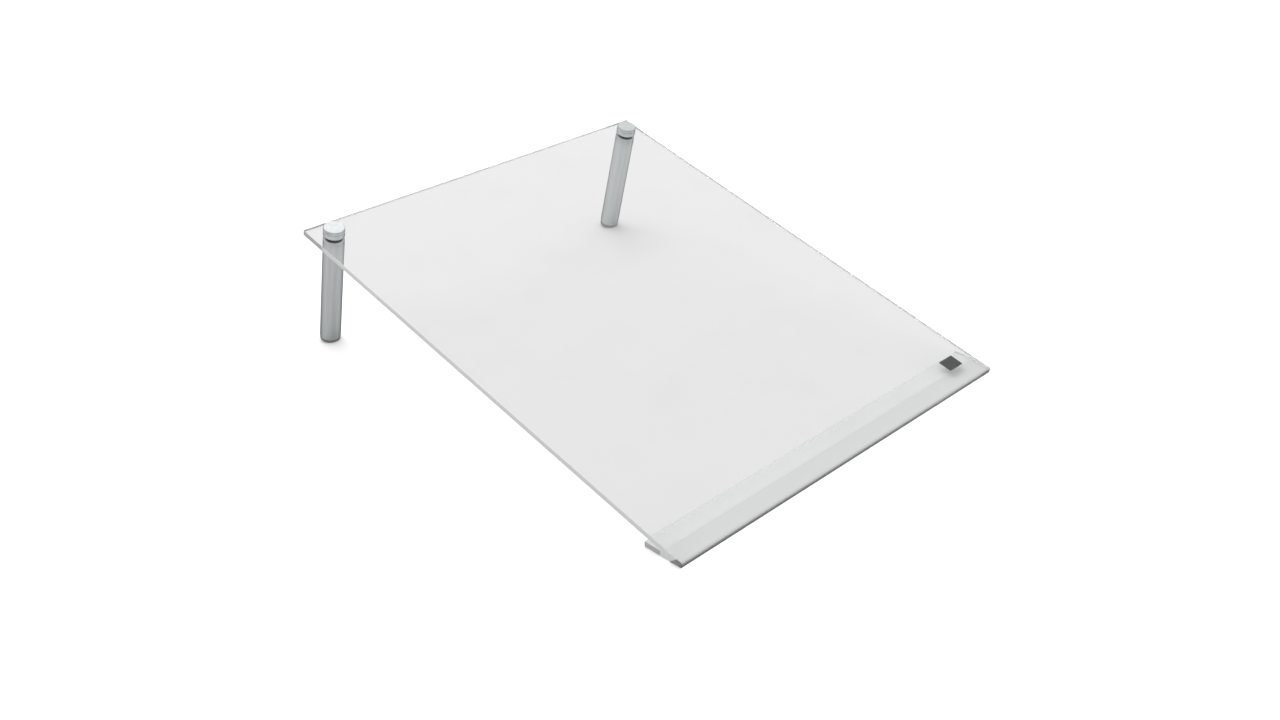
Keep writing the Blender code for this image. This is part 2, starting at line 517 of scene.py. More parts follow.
@dataclass(frozen=True)
class DeskContact(ClearAcrylic):
    """The foot's underside. Its index of 1 stands in for acrylic that lies on the desk with no air between.

    In front of the seam it is grey, partly the bond's film and partly painted shade, with a painted contact
    shadow at the front edge.
    """

    name: str = "desk_contact"
    tint: tuple[float, float, float] = (0.935, 0.942, 0.938)
    cast_tint: tuple[float, float, float] = (0.995, 0.998, 0.996)
    index: float = 1.0
    # The bond's film, darkened with painted shade.
    film_and_shade: tuple[float, float, float] = (0.7, 0.72, 0.71)
    # Painted contact shadow along the front edge.
    front_painted_shadow: tuple[float, float, float] = (0.25, 0.257, 0.253)
    front: float = 0.0
    front_reach: float = 3.2 * MILLIMETRE
    seam: float = 12.5 * MILLIMETRE
    seam_blur: float = 0.6 * MILLIMETRE

    def _colour(self, graph: Graph) -> Any:
        """Clear behind the seam, grey in front of it with the film and painted shade, and darkest at the
        front edge with a painted contact shadow.

        Args:
            graph: The material's graph.

        Returns:
            The colour.
        """
        along = graph.component(graph.local_point(), "Y")
        seam = self.front + self.seam
        bonded = 1 - along.ramp(seam - self.seam_blur, seam + self.seam_blur)
        inner = along.ramp(self.front, self.front + self.front_reach)
        film_and_shade = graph.mix_colour(inner, opaque(self.front_painted_shadow), opaque(self.film_and_shade))
        return graph.mix_colour(bonded, opaque(self.tint), film_and_shade)


@dataclass(frozen=True)
class SatinAluminium(Finish):
    """Drawn aluminium bar, satin anodised: faint streaks along it, and the lathe's rings on its flat ends."""

    name: str = "satin_aluminium"
    colour: tuple[float, float, float] = (0.712, 0.741, 0.746)
    streaked: float = 0.86
    streak_grain: float = 0.3 * MILLIMETRE
    band_grain: float = 3.0 * MILLIMETRE
    band_detail: float = 1.0
    band_share: float = 0.5
    streak_stretch: float = 0.015
    roughness: float = 0.3
    roughness_spread: float = 0.08
    blast_grain: float = 0.22 * MILLIMETRE
    blast_depth: float = 0.004 * MILLIMETRE
    ring_pitch: float = 0.35 * MILLIMETRE
    ring_depth: float = 0.002 * MILLIMETRE
    ring_facing: tuple[float, float] = (0.8, 0.95)
    grazing: float = 0.2

    def shade(self, graph: Graph) -> Signal:
        """Builds the metal shader.

        Args:
            graph: The material\'s graph.

        Returns:
            The shader.
        """
        point = graph.local_point()
        blast = graph.noise(point, self.blast_grain, FINE_DETAIL)
        drawn = self._scaled(graph, point, self.streak_stretch)
        fine = graph.noise(drawn, self.streak_grain, FINE_DETAIL)
        band = graph.noise(drawn, self.band_grain, self.band_detail)
        streak = (1 - self.band_share) * fine + self.band_share * band
        flattened = self._scaled(graph, point, 0.0)
        radius = graph.node("ShaderNodeVectorMath", {"operation": "LENGTH"}, {0: flattened}, 1)
        turns = radius * (2 * math.pi / self.ring_pitch)
        ring = graph.node("ShaderNodeMath", {"operation": "SINE"}, {0: turns})
        facing = graph.component(graph.local_normal(), "Z")
        flat_end = (facing * facing).ramp(*self.ring_facing)
        depth = self.blast_depth + self.ring_depth
        height = blast * (self.blast_depth / depth)
        height = height + ring * flat_end * (self.ring_depth / depth)
        shaded = opaque(self.streaked * channel for channel in self.colour)
        values = {
            "Base Color": graph.mix_colour(streak.ramp(*PATCH_RANGE), shaded, opaque(self.colour)),
            "Roughness": self.roughness + self.roughness_spread * (blast - 0.5),
            "Metallic": 1.0,
            "Specular Tint": grey(self.grazing),
            "Normal": graph.bump(height, depth),
        }
        return graph.principled(values)

    @staticmethod
    def _scaled(graph: Graph, point: Signal, share: float) -> Signal:
        """The point with its height along the turning axis scaled."""
        scale = (1.0, 1.0, share)
        return graph.node("ShaderNodeVectorMath", {"operation": "MULTIPLY"}, {0: point, 1: scale})


@dataclass(frozen=True)
class ZincSteel(Finish):
    """Bright zinc-plated steel thread, a little uneven."""

    name: str = "zinc_plated_steel"
    colour: tuple[float, float, float] = (0.58, 0.6, 0.62)
    warmth: tuple[float, float, float] = (1.04, 1.0, 0.92)
    roughness: float = 0.22
    roughness_spread: float = 0.12
    grain: float = 0.6 * MILLIMETRE

    def shade(self, graph: Graph) -> Signal:
        """Builds the plated shader.

        Args:
            graph: The material\'s graph.

        Returns:
            The shader.
        """
        patch = graph.noise(graph.local_point(), self.grain, FINE_DETAIL)
        warm = opaque(channel * scale for channel, scale in zip(self.colour, self.warmth))
        values = {
            "Base Color": graph.mix_colour(patch.ramp(*PATCH_RANGE), opaque(self.colour), warm),
            "Roughness": self.roughness + self.roughness_spread * patch,
            "Metallic": 1.0,
        }
        return graph.principled(values)


@dataclass(frozen=True)
class BlackRubber(Finish):
    """Moulded black rubber with a fine grain and a little dust."""

    name: str = "black_rubber"
    colour: tuple[float, float, float] = (0.03, 0.0305, 0.0315)
    dust: tuple[float, float, float] = (0.06, 0.06, 0.06)
    dust_range: tuple[float, float] = (0.45, 0.75)
    roughness: float = 0.62
    roughness_spread: float = 0.15
    grain: float = 0.25 * MILLIMETRE
    dust_grain: float = 2.5 * MILLIMETRE
    grain_depth: float = 0.01 * MILLIMETRE

    def shade(self, graph: Graph) -> Signal:
        """Builds the rubber shader.

        Args:
            graph: The material\'s graph.

        Returns:
            The shader.
        """
        point = graph.local_point()
        fine = graph.noise(point, self.grain)
        dusty = graph.noise(point, self.dust_grain, FINE_DETAIL).ramp(*self.dust_range)
        values = {
            "Base Color": graph.mix_colour(dusty, opaque(self.colour), opaque(self.dust)),
            "Roughness": self.roughness + self.roughness_spread * fine,
            "Normal": graph.bump(fine, self.grain_depth),
        }
        return graph.principled(values)


@dataclass(frozen=True)
class LightenedRubber(BlackRubber):
    """The pads' rubber, with painted light: a paler grey than black rubber, to brighten it under the post,
    and a little dust.
    """

    name: str = "lightened_rubber"
    # Painted light, paler than the rubber itself.
    colour: tuple[float, float, float] = (0.26, 0.262, 0.265)
    dust: tuple[float, float, float] = (0.36, 0.36, 0.36)


@dataclass(frozen=True)
class ClearNylon(Finish):
    """Natural nylon, translucent and slightly milky."""

    name: str = "clear_nylon"
    colour: tuple[float, float, float] = (0.93, 0.94, 0.93)
    roughness: float = 0.28
    roughness_spread: float = 0.1
    grain: float = 0.8 * MILLIMETRE
    clearness: float = 0.75
    index: float = 1.53

    def shade(self, graph: Graph) -> Signal:
        """Builds the nylon shader.

        Args:
            graph: The material\'s graph.

        Returns:
            The shader.
        """
        milk = graph.noise(graph.local_point(), self.grain)
        values = {
            "Base Color": opaque(self.colour),
            "Roughness": self.roughness + self.roughness_spread * milk,
            "Transmission Weight": self.clearness,
            "IOR": self.index,
        }
        return graph.principled(values)


@dataclass(frozen=True)
class DarkInk(Finish):
    """The near-black of the plain plate, laid on a little unevenly."""

    name: str = "dark_ink"
    colour: tuple[float, float, float] = (0.045, 0.048, 0.05)
    thin: tuple[float, float, float] = (0.07, 0.074, 0.078)
    thin_range: tuple[float, float] = (0.4, 0.7)
    roughness: float = 0.42
    roughness_spread: float = 0.12
    grain: float = 0.9 * MILLIMETRE
    depth: float = 0.004 * MILLIMETRE

    def shade(self, graph: Graph) -> Signal:
        """Builds the ink shader.

        Args:
            graph: The material\'s graph.

        Returns:
            The shader.
        """
        patch = graph.noise(graph.local_point(), self.grain, FINE_DETAIL)
        ink = graph.mix_colour(patch.ramp(*self.thin_range), opaque(self.colour), opaque(self.thin))
        values = {
            "Base Color": ink,
            "Roughness": self.roughness + self.roughness_spread * patch,
            "Normal": graph.bump(patch, self.depth),
        }
        return graph.principled(values)


def finished_mesh(name: str, work: bmesh.types.BMesh, smooth: bool = True) -> bpy.types.Mesh:
    """Turns mesh work into a mesh, and frees the work.

    Args:
        name: The mesh's name.
        work: The mesh work.
        smooth: Whether its round surfaces are shaded smooth. Its flat ends and large faces never are.

    Returns:
        The mesh.
    """
    mesh = bpy.data.meshes.new(name)
    work.to_mesh(mesh)
    work.free()
    if smooth:
        mesh.shade_smooth()
        mesh.set_sharp_from_angle(angle=SMOOTH_ANGLE)
        for face in mesh.polygons:
            face.use_smooth = face.area < FLAT_AREA and abs(face.normal.z) < FLAT_END
    return mesh


class Corner(NamedTuple):
    """A corner of a turned profile: its radius, its height and how far it is rounded."""

    radius: float
    height: float
    rounding: float = 0.0


def rounded_outline(corners: Sequence[Corner], ring: bool) -> list[Vector]:
    """Rounds a profile's corners.

    Args:
        corners: The profile's corners, down its outer side.
        ring: Whether the profile closes on itself.

    Returns:
        The points of the rounded profile, as (radius, height).
    """
    points: list[Vector] = []
    for index, corner in enumerate(corners):
        here = Vector((corner.radius, corner.height))
        is_end = not ring and index in (0, len(corners) - 1)
        if is_end or not corner.rounding:
            points.append(here)
            continue
        before, after = corners[index - 1], corners[(index + 1) % len(corners)]
        back = (Vector(before[:2]) - here).normalized()
        ahead = (Vector(after[:2]) - here).normalized()
        half = back.angle(ahead) / 2
        reach = corner.rounding / math.tan(half)
        centre = here + (back + ahead).normalized() * (corner.rounding / math.sin(half))
        start, end = (here + leg * reach - centre for leg in (back, ahead))
        start, end = start.normalized(), end.normalized()
        for step in range(ROUNDING_STEPS + 1):
            points.append(centre + start.slerp(end, step / ROUNDING_STEPS) * corner.rounding)
    return points


def turned_mesh(name: str, corners: Sequence[Corner], ring: bool = False) -> bpy.types.Mesh:
    """Turns a profile about its own Z axis.

    Args:
        name: The mesh's name.
        corners: The profile's corners, down its outer side.
        ring: Whether the profile closes on itself.

    Returns:
        The turned mesh.
    """
    work = bmesh.new()
    points = [work.verts.new((point.x, 0, point.y)) for point in rounded_outline(corners, ring)]
    lines = [work.edges.new(pair) for pair in zip(points, points[1:])]
    if ring:
        lines.append(work.edges.new((points[-1], points[0])))
    bmesh.ops.spin(
        work,
        geom=points + lines,
        axis=(0, 0, 1),
        cent=(0, 0, 0),
        angle=2 * math.pi,
        steps=TURNED_SIDES,
        use_merge=True,
    )
    bmesh.ops.remove_doubles(work, verts=work.verts, dist=MERGE_DISTANCE)
    bmesh.ops.recalc_face_normals(work, faces=work.faces)
    return finished_mesh(name, work)


def mark_edges(work: bmesh.types.BMesh, is_foot: bool = False) -> None:
    """Gives the faces of a clear piece their finishes.

    Args:
        work: The piece's mesh work, in the slope's axes.
        is_foot: Whether its rear edge looks like its broad faces, and its underside has its own finish.
    """
    mostly = 0.7
    nearly = 0.95
    leaning = 0.35
    for face in work.faces:
        normal = face.normal
        if is_foot and normal.z < -mostly:
            face.material_index = AcrylicFace.UNDERSIDE
        elif abs(normal.z) > nearly or (is_foot and normal.y > mostly):
            face.material_index = AcrylicFace.BROAD
        elif normal.y < -leaning:
            face.material_index = AcrylicFace.FRONT
        elif normal.x < -mostly:
            face.material_index = AcrylicFace.LEFT
        else:
            face.material_index = AcrylicFace.RIGHT_OR_REAR


def upright_edges(work: bmesh.types.BMesh) -> list[bmesh.types.BMEdge]:
    """The edges of a box's mesh work that run up it."""
    return [edge for edge in work.edges if abs(edge.verts[0].co.z - edge.verts[1].co.z) > MERGE_DISTANCE]


def round_edges(work: bmesh.types.BMesh, edges: list[bmesh.types.BMEdge], radius: float, steps: int) -> None:
    """Rounds some edges of a mesh work by a radius, with so many faces to each."""
    bmesh.ops.bevel(work, geom=edges, offset=radius, segments=steps, profile=0.5, affect="EDGES")


def cut_across(
    work: bmesh.types.BMesh, place: Sequence[float], direction: Sequence[float], clear: bool = False
) -> list[bmesh.types.BMEdge]:
    """Cuts a mesh work with a plane.

    Args:
        work: The mesh work.
        place: A point of the plane.
        direction: The plane's normal.
        clear: Whether what lies behind the plane is taken away.

    Returns:
        The edges of the cut.
    """
    geometry = [*work.verts, *work.edges, *work.faces]
    cut = bmesh.ops.bisect_plane(work, geom=geometry, plane_co=place, plane_no=direction, clear_inner=clear)
    return [item for item in cut["geom_cut"] if isinstance(item, bmesh.types.BMEdge)]


def box_work(low: Vector, high: Vector) -> bmesh.types.BMesh:
    """Makes the mesh work of a box.

    Args:
        low: Its lowest corner.
        high: Its highest corner.

    Returns:
        The mesh work.
    """
    work = bmesh.new()
    centre = Matrix.Translation((low + high) / 2)
    bmesh.ops.create_cube(work, size=1, matrix=centre @ Matrix.Diagonal((*(high - low), 1)))
    return work


def add_piece(
    name: str, mesh: bpy.types.Mesh, finishes: Iterable[Finish], matrix: Matrix, body: str
) -> bpy.types.Object:
    """Puts a mesh in the scene as a piece of the board.

    Args:
        name: The piece's name.
        mesh: Its mesh, in its own axes, which is then laid in the desk's.
        finishes: The finishes of its material slots, in order.
        matrix: Where it stands.
        body: The body it rides on.

    Returns:
        The piece.
    """
    piece = bpy.data.objects.new(name, mesh)
    bpy.context.scene.collection.objects.link(piece)
    mesh.transform(matrix.to_3x3().to_4x4())
    piece.matrix_world = Matrix.Translation(matrix.translation)
    for finish in finishes:
        mesh.materials.append(finish.material())
    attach(piece, body)
    LOG.info("%s rides on %s, %d faces", name, body, len(mesh.polygons))
    return piece


class SlopeAxes:
    """The sheet's own axes: across the board, up its slope, and square out of its face."""

    def __init__(self) -> None:
        """Reads the slope from a cap's turning axis, which is square to the sheet."""
        self.outward = Vector(CAP_AXIS).normalized()
        self.across = Vector((1, 0, 0))
        self.uphill = self.outward.cross(self.across)
        self.turn = Matrix((self.across, self.uphill, self.outward)).transposed()

    def extent(self, node: str) -> tuple[Vector, Vector]:
        """Measures a solid along these axes.

        Args:
            node: The solid's name.

        Returns:
            Its lowest and its highest corner.
        """
        points = [self.turn.transposed() @ vertex.co for vertex in frame["nodes"][node].data.vertices]
        low = Vector(min(point[i] for point in points) for i in range(3))
        high = Vector(max(point[i] for point in points) for i in range(3))
        return low, high


class Span(NamedTuple):
    """How far a turned solid reaches along its axis, and its outer radius."""

    low: float
    high: float
    radius: float


class LegAxis:
    """A stand-off's axis, from the joint on which its cap turns."""

    def __init__(self, side: Side, slope: SlopeAxes) -> None:
        """Reads one side's axis, square to the sheet."""
        self.matrix = Matrix.Translation(cap_joint(side)["pos_m"]) @ slope.turn.to_4x4()

    def span(self, node: str) -> Span:
        """Measures a solid along and round the axis.

        Args:
            node: The solid's name.

        Returns:
            How far it reaches.
        """
        to_axis = self.matrix.inverted()
        points = [to_axis @ vertex.co for vertex in frame["nodes"][node].data.vertices]
        heights = [point.z for point in points]
        return Span(min(heights), max(heights), max(point.xy.length for point in points))

    def at(self, height: float) -> Matrix:
        """Where a piece with its base at a height of the axis stands."""
        return self.matrix @ Matrix.Translation((0, 0, height))


@dataclass
class WritingSheet:
    """The clear sloping sheet, with its sawn edges, its two holes and the dark plate near its corner."""

    edge_rounding: float = 0.25 * MILLIMETRE
    corner_rounding: float = 0.6 * MILLIMETRE
    hole_radius: float = 3.0 * MILLIMETRE
    edge_steps: int = 3
    cutter_length: float = 20.0 * MILLIMETRE
    plate_from_right: float = 11.2 * MILLIMETRE
    plate_from_front: float = 12.0 * MILLIMETRE
    plate_width: float = 11.7 * MILLIMETRE
    plate_length: float = 8.3 * MILLIMETRE
    plate_thickness: float = 0.08 * MILLIMETRE
    plate_corner: float = 0.5 * MILLIMETRE
    plate_edge_steps: int = 2

    def build(self, slope: SlopeAxes, bond_end: float) -> None:
        """Builds the sheet and its plate.

        Args:
            slope: The sheet's axes.
            bond_end: How far up the sheet's underside the foot is bonded.
        """
        low, high = slope.extent("acrylic_sheet")
        sheet = add_piece(
            "writing_sheet",
            self._sheet_mesh(slope, low, high, low.y + bond_end),
            [
                ClearAcrylic(),
                FrontEdge(half_width=high.x, underside=low.z),
                SawnEdge(front=low.y, top=high.z, rear=high.y, half_width=high.x),
                FrostedEdge(front=low.y, rear=high.y, half_width=high.x),
            ],
            slope.turn.to_4x4(),
            "board",
        )
        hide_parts("acrylic_sheet")
        plate = self._plate_mesh(low, high)
        add_piece("corner_plate", plate, [DarkInk()], slope.turn.to_4x4(), "board")

    def _sheet_mesh(self, slope: SlopeAxes, low: Vector, high: Vector, bond_end: float) -> bpy.types.Mesh:
        """Makes the sheet with rounded edges and holes, open where the foot is bonded on.

        Args:
            slope: The sheet's axes.
            low: The sheet's lowest corner.
            high: Its highest corner.
            bond_end: Where the bond ends, along the slope.

        Returns:
            The sheet's mesh.
        """
        work = box_work(low, high)
        round_edges(work, upright_edges(work), self.corner_rounding, ROUNDING_STEPS)
        rims = [edge for edge in work.edges if edge.calc_face_angle(0) > SMOOTH_ANGLE]
        round_edges(work, rims, self.edge_rounding, self.edge_steps)
        blank = bpy.data.objects.new("sheet_blank", finished_mesh("sheet_blank", work))
        bpy.context.scene.collection.objects.link(blank)
        cutters = [self._hole_cutter(side, slope) for side in Side]
        for cutter in cutters:
            boolean = blank.modifiers.new(cutter.name, "BOOLEAN")
            boolean.object = cutter
            boolean.solver = "EXACT"
        drilled = bpy.data.meshes.new_from_object(blank.evaluated_get(bpy.context.evaluated_depsgraph_get()))
        for leftover in (blank, *cutters):
            bpy.data.objects.remove(leftover)
        work = bmesh.new()
        work.from_mesh(drilled)
        self._open_bond(work, bond_end)
        return finished_mesh("writing_sheet", work)

    def _hole_cutter(self, side: Side, slope: SlopeAxes) -> bpy.types.Object:
        """Makes a rod where a stud goes through the sheet.

        Args:
            side: The stud's side.
            slope: The sheet's axes.

        Returns:
            The rod.
        """
        centre = slope.turn.transposed() @ Vector(cap_joint(side)["pos_m"])
        work = bmesh.new()
        bmesh.ops.create_cone(
            work,
            cap_ends=True,
            segments=TURNED_SIDES,
            radius1=self.hole_radius,
            radius2=self.hole_radius,
            depth=self.cutter_length,
            matrix=Matrix.Translation(centre),
        )
        cutter = bpy.data.objects.new(f"{side.value}_hole", finished_mesh("hole", work))
        bpy.context.scene.collection.objects.link(cutter)
        return cutter

    @staticmethod
    def _open_bond(work: bmesh.types.BMesh, bond_end: float) -> None:
        """Takes the underside away where the foot's bevel carries on from it.

        Args:
            work: The sheet's mesh work.
            bond_end: Where the bond ends, along the slope.
        """
        cut_across(work, (0, bond_end, 0), (0, 1, 0))
        bonded = [
            face
            for face in work.faces
            if face.normal.z < -FACING and face.calc_center_median().y < bond_end
        ]
        bmesh.ops.delete(work, geom=bonded, context="FACES")
        mark_edges(work)

    def _plate_mesh(self, low: Vector, high: Vector) -> bpy.types.Mesh:
        """Makes the plain dark plate, a film on the sheet's face.

        Args:
            low: The sheet's lowest corner.
            high: Its highest corner.

        Returns:
            The plate's mesh.
        """
        right = high.x - self.plate_from_right
        front = low.y + self.plate_from_front
        near = Vector((right - self.plate_width, front, high.z))
        far = Vector((right, front + self.plate_length, high.z + self.plate_thickness))
        work = box_work(near, far)
        round_edges(work, upright_edges(work), self.plate_corner, ROUNDING_STEPS)
        face_height = near.z + MERGE_DISTANCE
        top = [edge for edge in work.edges if min(vertex.co.z for vertex in edge.verts) > face_height]
        round_edges(work, top, self.plate_thickness / 2, self.plate_edge_steps)
        return finished_mesh("corner_plate", work)


@dataclass
class BondedFoot:
    """The clear strip under the front edge, bonded along its bevel so that light passes the joint."""

    edge_rounding: float = 0.2 * MILLIMETRE
    edge_steps: int = 3
    sheet_rounding: float = 0.25 * MILLIMETRE
    tint: tuple[float, float, float] = (0.99, 0.998, 0.994)
    # Painted shade of the strip's front edge.
    edge_painted_shade: tuple[float, float, float] = (0.3, 0.31, 0.3)
    # How far the film and its painted shade reach past the seam.
    film_and_shade_overlap: float = 0.6 * MILLIMETRE
    # How far past the bevel's end the painted grey shade on the strip's left end starts.
    ledge_painted_shade: float = 0.8 * MILLIMETRE

    def bond_end(self, slope: SlopeAxes) -> float:
        """Measures how far up the sheet's underside the bevel reaches.

        Args:
            slope: The sheet's axes.

        Returns:
            Its reach from the sheet's front edge.
        """
        sheet_low = slope.extent("acrylic_sheet")[0]
        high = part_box("front_foot")[1]
        return (high.z - slope.outward.z * sheet_low.z) / slope.uphill.z - sheet_low.y

    def build(self, slope: SlopeAxes) -> None:
        """Builds the strip.

        Args:
            slope: The sheet's axes.
        """
        low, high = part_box("front_foot")
        sheet_low, sheet_high = slope.extent("acrylic_sheet")
        bond_end = self.bond_end(slope)
        start = self._on_underside(slope, sheet_low, self.sheet_rounding)
        end = self._on_underside(slope, sheet_low, bond_end)
        front_low = slope.outward.dot(Vector((0, start.y, low.z)))
        front = [(start.y, start.z), (start.y, low.z)]
        outline = [*front, (high.y, low.z), (high.y, high.z), (end.y, high.z)]
        work = bmesh.new()
        left = [work.verts.new((low.x, y, z)) for y, z in outline]
        work.faces.new(left)
        swept = bmesh.ops.extrude_face_region(work, geom=work.faces[:])
        moved = [item for item in swept["geom"] if isinstance(item, bmesh.types.BMVert)]
        bmesh.ops.translate(work, verts=moved, vec=(high.x - low.x, 0, 0))
        bmesh.ops.recalc_face_normals(work, faces=work.faces)
        self._round_free_edges(work, high)
        bmesh.ops.transform(work, matrix=slope.turn.transposed().to_4x4(), verts=work.verts)
        work.normal_update()
        self._open_bond(work, low, high)
        foot = add_piece(
            "foot_strip",
            finished_mesh("foot_strip", work),
            [
                ClearAcrylic(name="foot_acrylic", tint=self.tint, cast_tint=self.tint),
                FrontEdge(name="foot_front", half_width=high.x, underside=front_low, tint=self.edge_painted_shade),
                SawnEdge(
                    name="foot_end",
                    front=sheet_low.y,
                    top=sheet_high.z,
                    ledge=sheet_low.y + bond_end + self.ledge_painted_shade,
                ),
                FrostedEdge(name="foot_right_end", front=sheet_low.y),
                DeskContact(front=sheet_low.y, seam=bond_end + self.film_and_shade_overlap),
            ],
            slope.turn.to_4x4(),
            "board",
        )
        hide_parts("front_foot")

    @staticmethod
    def _on_underside(slope: SlopeAxes, sheet_low: Vector, along: float) -> Vector:
        """A point of the sheet's underside, some way up from its front edge."""
        return slope.turn @ Vector((0, sheet_low.y + along, sheet_low.z))

    def _round_free_edges(self, work: bmesh.types.BMesh, high: Vector) -> None:
        """Rounds the edges at the strip's rear.

        Args:
            work: The strip's mesh work.
            high: The strip's highest corner.
        """
        rear = [
            edge
            for edge in work.edges
            if all(abs(vertex.co.y - high.y) < MERGE_DISTANCE for vertex in edge.verts)
        ]
        round_edges(work, rear, self.edge_rounding, self.edge_steps)

    def _open_bond(self, work: bmesh.types.BMesh, low: Vector, high: Vector) -> None:
        """Takes the bevel's face away where it lies on the sheet.

        Args:
            work: The strip's mesh work, in the slope's axes.
            low: The strip's lowest corner.
            high: Its highest corner.
        """
        inner = high.x - self.sheet_rounding
        for side in (low.x + self.sheet_rounding, inner):
            cut_across(work, (side, 0, 0), (1, 0, 0))
        bonded = [
            face
            for face in work.faces
            if face.normal.z > FACING and abs(face.calc_center_median().x) < inner
        ]
        bmesh.ops.delete(work, geom=bonded, context="FACES")
        mark_edges(work, is_foot=True)


@dataclass
class StandOff:
    """A stand-off's turned pieces, stacked on its axis."""

    side: Side
    post_rounding: float = 0.2 * MILLIMETRE
    post_chamfer: float = 0.6 * MILLIMETRE
    cap_chamfer: float = 0.3 * MILLIMETRE
    cap_rounding: float = 0.12 * MILLIMETRE
    cap_roof: float = 1.4 * MILLIMETRE
    groove_places: tuple[float, ...] = (0.16, 0.48)
    groove_width: float = 0.5 * MILLIMETRE
    groove_depth: float = 0.35 * MILLIMETRE
    clearance: float = 0.3 * MILLIMETRE
    drill_angle: float = math.radians(118)
    bore_spare: float = 2.5 * MILLIMETRE
    thread_pitch: float = 0.8 * MILLIMETRE
    thread_depth: float = 0.45 * MILLIMETRE
    thread_steepness: float = 1.35
    thread_crest: float = 0.15
    thread_sides: int = 40
    thread_rows: int = 8
    stud_chamfer: float = 0.5 * MILLIMETRE
    pad_rounding: float = 0.3 * MILLIMETRE
    washer_rounding: float = 0.1 * MILLIMETRE
    washer_squeeze: float = 0.2 * MILLIMETRE
    seating: float = 0.28 * MILLIMETRE

    def build(self, slope: SlopeAxes) -> None:
        """Builds the stack's pieces.

        Args:
            slope: The sheet's axes.
        """
        axis = LegAxis(self.side, slope)
        stud = axis.span(self._node("stud"))
        self._add("post", "turned", self._post_mesh(axis, stud), SatinAluminium(), axis)
        self._add("cap", "turned", self._cap_mesh(axis, stud), SatinAluminium(), axis)
        self._add("stud", "threaded", self._stud_mesh(stud), ZincSteel(), axis)
        cap_washer = self._washer_mesh(axis, "cap_washer", stud)
        self._add("cap_washer", "thin", cap_washer, ClearNylon(), axis)
        seat_washer = self._washer_mesh(axis, "seat_washer", stud)
        self._add("seat_washer", "flat", seat_washer, BlackRubber(), axis)
        # The pad's rubber is painted paler, as light under the post.
        self._add("end_pad", "pressed", self._pad_mesh(axis), LightenedRubber(), axis)

    def _node(self, part: str) -> str:
        """The name of a part's solid on this side."""
        return f"{self.side.value}_{part}"

    def _body(self, part: str) -> str:
        """The body that a part's solid rides on."""
        return body_of(frame["nodes"][self._node(part)])[0]

    def _add(
        self, part: str, look: str, mesh: bpy.types.Mesh, finish: Finish, axis: LegAxis
    ) -> None:
        """Adds a piece that stands for a part's solid.

        Args:
            part: The part's name, without its side.
            look: A word that tells the piece from its solid.
            mesh: Its mesh, with its base at zero height.
            finish: Its finish.
            axis: The stand-off's axis.
        """
        node = self._node(part)
        name = f"{self.side.value}_{look}_{part}"
        place = axis.at(axis.span(node).low)
        piece = add_piece(name, mesh, [finish], place, self._body(part))
        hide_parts(node)

    def _post_mesh(self, axis: LegAxis, stud: Span) -> bpy.types.Mesh:
        """Makes the post, bored for the stud from its top.

        Args:
            axis: The stand-off's axis.
            stud: The stud's reach.

        Returns:
            The mesh, with the base of the solid at zero height.
        """
        span = axis.span(self._node("post"))
        top = span.high - span.low + 2 * self.seating
        bore = stud.radius + self.clearance
        floor = stud.low - span.low - self.bore_spare
        corners = [
            Corner(0, floor - bore / math.tan(self.drill_angle / 2)),
            Corner(bore, floor),
            Corner(bore, top - self.clearance),
            Corner(bore + self.clearance, top),
            Corner(span.radius - self.post_chamfer, top, self.post_rounding),
            Corner(span.radius, top - self.post_chamfer, self.post_rounding),
            Corner(span.radius, -self.seating, self.post_rounding),
            Corner(0, -self.seating),
        ]
        return turned_mesh(self._node("post_look"), corners)

    def _cap_mesh(self, axis: LegAxis, stud: Span) -> bpy.types.Mesh:
        """Makes the cap, with its washer's recess and the stud's bore underneath.

        Args:
            axis: The stand-off's axis.
            stud: The stud's reach.

        Returns:
            The mesh, with the base of the solid at zero height.
        """
        span = axis.span(self._node("cap"))
        washer = axis.span(self._node("cap_washer"))
        top = span.high - span.low
        bore = stud.radius + self.clearance
        recess = washer.radius + self.clearance
        ceiling = washer.high - span.low + self.clearance
        corners = [
            Corner(0, top),
            Corner(span.radius - self.cap_chamfer, top, self.cap_rounding),
            Corner(span.radius, top - self.cap_chamfer, self.cap_rounding),
            *self._grooves(span.radius, top),
            Corner(span.radius, self.cap_chamfer - self.seating, self.cap_rounding),
            Corner(span.radius - self.cap_chamfer, -self.seating, self.cap_rounding),
            Corner(recess, -self.seating),
            Corner(recess, ceiling),
            Corner(bore, ceiling),
            Corner(bore, top - self.cap_roof),
            Corner(0, top - self.cap_roof),
        ]
        return turned_mesh(self._node("cap_look"), corners)

    def _grooves(self, radius: float, top: float) -> list[Corner]:
        """Outlines the fine grooves round the cap's side, downwards.

        Args:
            radius: The cap's radius.
            top: The height of the cap's top.

        Returns:
            The grooves' corners.
        """
        corners = []
        for depth in self.groove_places:
            height = top * (1 - depth)
            corners += [
                Corner(radius, height + self.groove_width / 2),
                Corner(radius - self.groove_depth, height),
                Corner(radius, height - self.groove_width / 2),
            ]
        return corners

